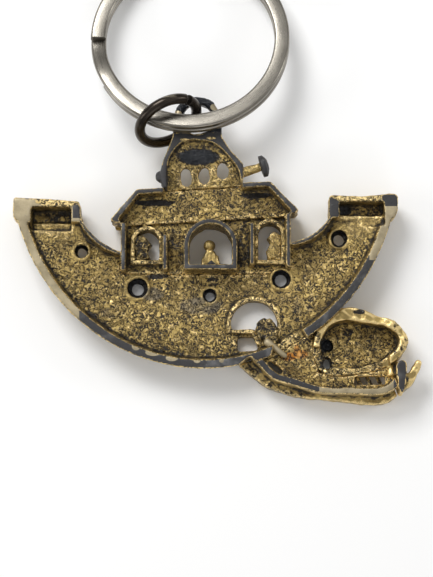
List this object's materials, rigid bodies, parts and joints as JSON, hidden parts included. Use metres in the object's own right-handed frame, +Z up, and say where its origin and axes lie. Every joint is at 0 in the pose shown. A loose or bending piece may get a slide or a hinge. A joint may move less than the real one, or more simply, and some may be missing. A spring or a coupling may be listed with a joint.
{
  "type": "keychain",
  "caption": "Hollow-backed cast metal ark charm with a cabin, portholes, a gangway and an animal, on a jump ring and a split key ring.",
  "frame": {"origin": "middle of the object's box at the surface it lies on", "axes": "+Z up out of the hollow back, +Y from the charm towards the split ring, +X towards the end with the animal"},
  "size_m": [0.0505, 0.0582, 0.0098],
  "materials": {
    "gold_plate": "antique gold plating over a rough cast back, black-brown patina in the hollows, back rims ground and worn to grey zinc",
    "dark_steel": "gunmetal-brown plated round wire, lightly worn",
    "nickel": "satin nickel-plated flat spring wire with fine scratches"
  },
  "bodies": {
    "ark": {"animal_foot": "gold_plate", "animal_leg": "gold_plate", "animal_trunk": "gold_plate", "big_animal": "gold_plate", "bow_cap": "gold_plate", "cabin_roof": "gold_plate", "cabin_wall": "gold_plate", "cupola": "gold_plate", "cupola_knob": "gold_plate", "gangway_edge": "gold_plate", "gangway_floor": "gold_plate", "gangway_skirt": "gold_plate", "gangway_slats": "gold_plate", "hanging_loop": "gold_plate", "hatch_animal": "gold_plate", "hatch_frame": "gold_plate", "horn_peg": "gold_plate", "hull_shell": "gold_plate", "porthole_collar_1": "gold_plate", "porthole_collar_2": "gold_plate", "porthole_collar_3": "gold_plate", "porthole_collar_4": "gold_plate", "porthole_collar_5": "gold_plate", "stern_cap": "gold_plate", "window_animal_left": "gold_plate", "window_animal_right": "gold_plate", "window_figure": "gold_plate", "window_frame_centre": "gold_plate", "window_frame_left": "gold_plate", "window_frame_right": "gold_plate"},
    "jump_ring": {"jump_ring": "dark_steel"},
    "split_ring": {"split_ring": "nickel"}
  },
  "joints": [
    {"name": "ring_swivel", "type": "hinge", "parent": "ark", "child": "jump_ring", "pos_m": [-0.00327, 0.0059, 0.00425], "axis": [0, 0, 1], "range_deg": [-32, 4]},
    {"name": "split_ring_turn", "type": "hinge", "parent": "jump_ring", "child": "split_ring", "pos_m": [-0.00333, 0.01676, 0.00379], "axis": [-0.0256, 0.2277, 0.9734], "continuous": true}
  ]
}
